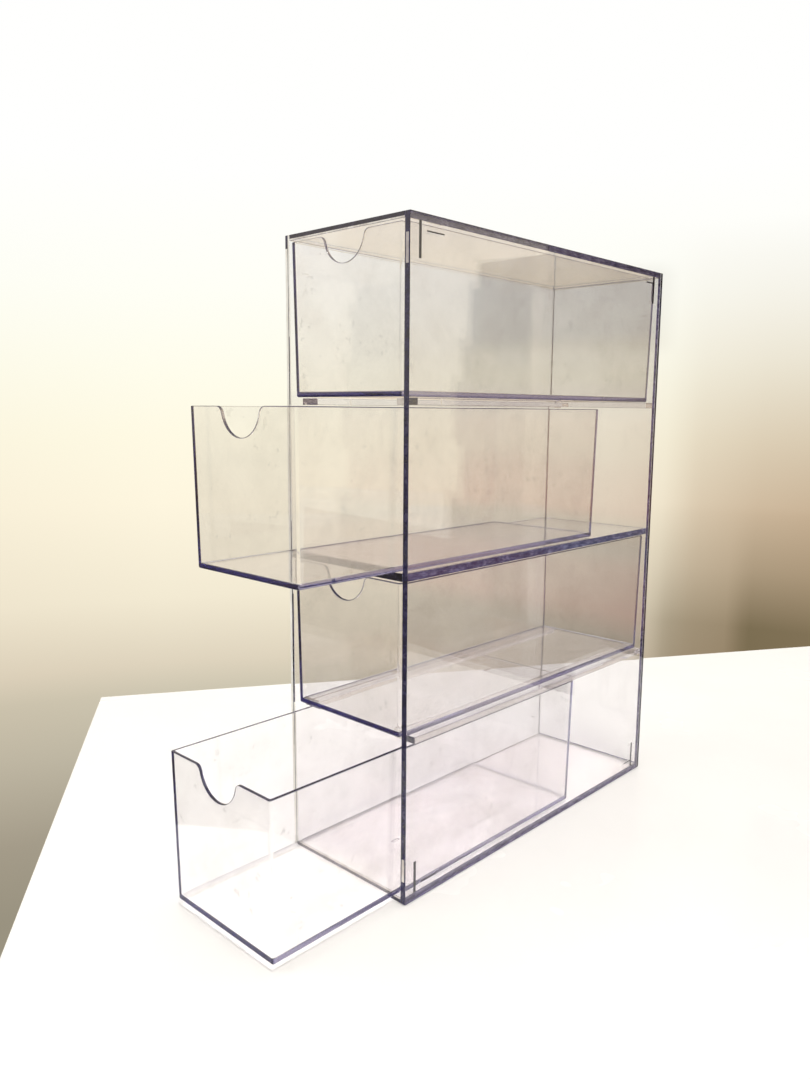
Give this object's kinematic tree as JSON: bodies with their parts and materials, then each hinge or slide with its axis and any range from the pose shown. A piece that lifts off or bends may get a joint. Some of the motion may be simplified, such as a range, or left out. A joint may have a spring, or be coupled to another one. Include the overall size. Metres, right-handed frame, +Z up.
{
  "type": "clear drawer organizer",
  "caption": "Tall narrow clear plastic case with stacked pull-out drawers for make-up and small things; each open-topped drawer has a half-round finger notch in its front.",
  "frame": {"origin": "centre of the case's base, on the surface it stands on", "axes": "+Z up, the drawers pull out towards -Y, +X to the right when facing the front of the case"},
  "size_m": [0.066, 0.2373, 0.25],
  "materials": {
    "case_clear": "polished clear plastic panels with dark violet cut edges",
    "runner_clear": "clear plastic ledges, slightly frosted along their length",
    "lug_clear": "clear plastic bonded lugs with dark end faces",
    "drawer_clear": "clear moulded plastic with a faint violet tint, indigo at its edges"
  },
  "bodies": {
    "case": {"left_side_wall": "case_clear", "right_side_wall": "case_clear", "bottom_panel": "case_clear", "top_panel": "case_clear", "back_panel": "case_clear", "middle_shelf": "case_clear", "upper_left_runner": "runner_clear", "upper_right_runner": "runner_clear", "lower_left_runner": "runner_clear", "lower_right_runner": "runner_clear", "top_front_left_lug": "lug_clear", "top_front_right_lug": "lug_clear", "top_rear_left_lug": "lug_clear", "top_rear_right_lug": "lug_clear", "bottom_front_left_lug": "lug_clear", "bottom_front_right_lug": "lug_clear", "bottom_rear_left_lug": "lug_clear", "bottom_rear_right_lug": "lug_clear", "top_front_left_nib": "lug_clear", "top_front_right_nib": "lug_clear", "top_rear_left_nib": "lug_clear", "top_rear_right_nib": "lug_clear", "bottom_front_left_nib": "lug_clear", "bottom_front_right_nib": "lug_clear", "bottom_rear_left_nib": "lug_clear", "bottom_rear_right_nib": "lug_clear"},
    "drawer_1": {"drawer_1": "drawer_clear"},
    "drawer_2": {"drawer_2": "drawer_clear"},
    "drawer_3": {"drawer_3": "drawer_clear"},
    "drawer_4": {"drawer_4": "drawer_clear"}
  },
  "joints": [
    {"name": "drawer_1_slide", "type": "slide", "parent": "case", "child": "drawer_1", "axis": [0, -1, 0], "range_m": [0, 0.15]},
    {"name": "drawer_2_slide", "type": "slide", "parent": "case", "child": "drawer_2", "axis": [0, -1, 0], "range_m": [-0.0467, 0.1033]},
    {"name": "drawer_3_slide", "type": "slide", "parent": "case", "child": "drawer_3", "axis": [0, -1, 0], "range_m": [0, 0.15]},
    {"name": "drawer_4_slide", "type": "slide", "parent": "case", "child": "drawer_4", "axis": [0, -1, 0], "range_m": [-0.0593, 0.0907]}
  ]
}
